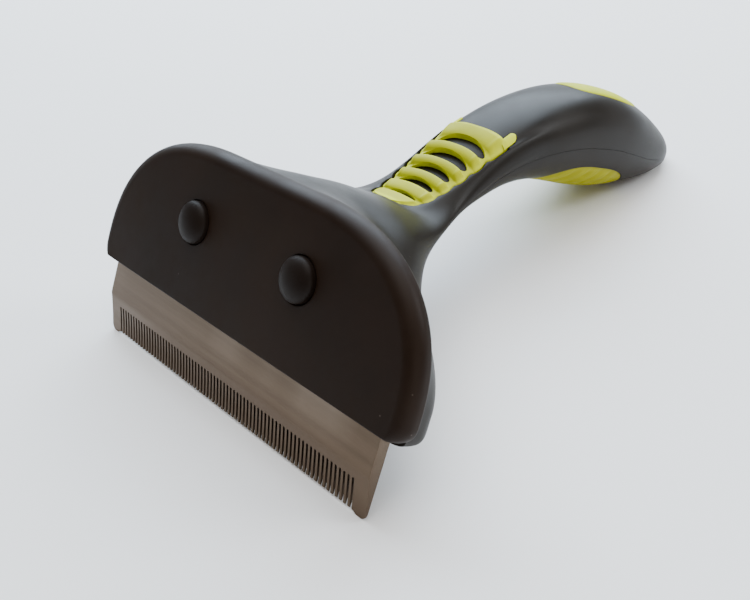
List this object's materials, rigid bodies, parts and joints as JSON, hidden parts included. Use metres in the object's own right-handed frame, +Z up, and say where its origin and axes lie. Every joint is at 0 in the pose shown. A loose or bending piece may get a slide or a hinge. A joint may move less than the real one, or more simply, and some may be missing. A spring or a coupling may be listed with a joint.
{
  "type": "deshedding tool",
  "caption": "Pet deshedding tool: a wide fine-toothed metal comb blade clamped under a D-shaped cover on the head of an arched two-shell handle with soft green grip pads.",
  "frame": {"origin": "middle of the bounding box at floor level, with the tool resting on its comb tips and the tail of its handle", "axes": "+X across the head along the comb, +Y from the comb towards the tail of the handle, +Z up from the floor"},
  "size_m": [0.112, 0.1698, 0.0506],
  "materials": {
    "stainless": "satin, brushed along the width",
    "soft_black": "soft-touch matte",
    "handle_black": "satin",
    "black_rubber": "matte",
    "lime_rubber": "satin",
    "dark_lime_rubber": "satin",
    "zinc_steel": "zinc plated",
    "brass": "turned"
  },
  "bodies": {
    "tool": {"blade": "stainless", "front_cover": "soft_black", "left_clamp_screw": "zinc_steel", "right_clamp_screw": "zinc_steel", "left_clamp_washer": "zinc_steel", "right_clamp_washer": "zinc_steel", "left_threaded_insert": "brass", "right_threaded_insert": "brass", "handle_body": "handle_black", "handle_underside": "handle_black", "thumb_grip": "lime_rubber", "heel_pad": "lime_rubber", "palm_pad": "dark_lime_rubber", "front_palm_screw": "zinc_steel", "rear_palm_screw": "zinc_steel", "neck_screw": "zinc_steel"},
    "left_plug": {"left_screw_plug": "black_rubber"},
    "right_plug": {"right_screw_plug": "black_rubber"}
  },
  "joints": [
    {"name": "left_plug_pull", "type": "slide", "parent": "tool", "child": "left_plug", "axis": [0, -0.8714, 0.4905], "range_m": [0, 0.004]},
    {"name": "right_plug_pull", "type": "slide", "parent": "tool", "child": "right_plug", "axis": [0, -0.8714, 0.4905], "range_m": [0, 0.004]}
  ]
}
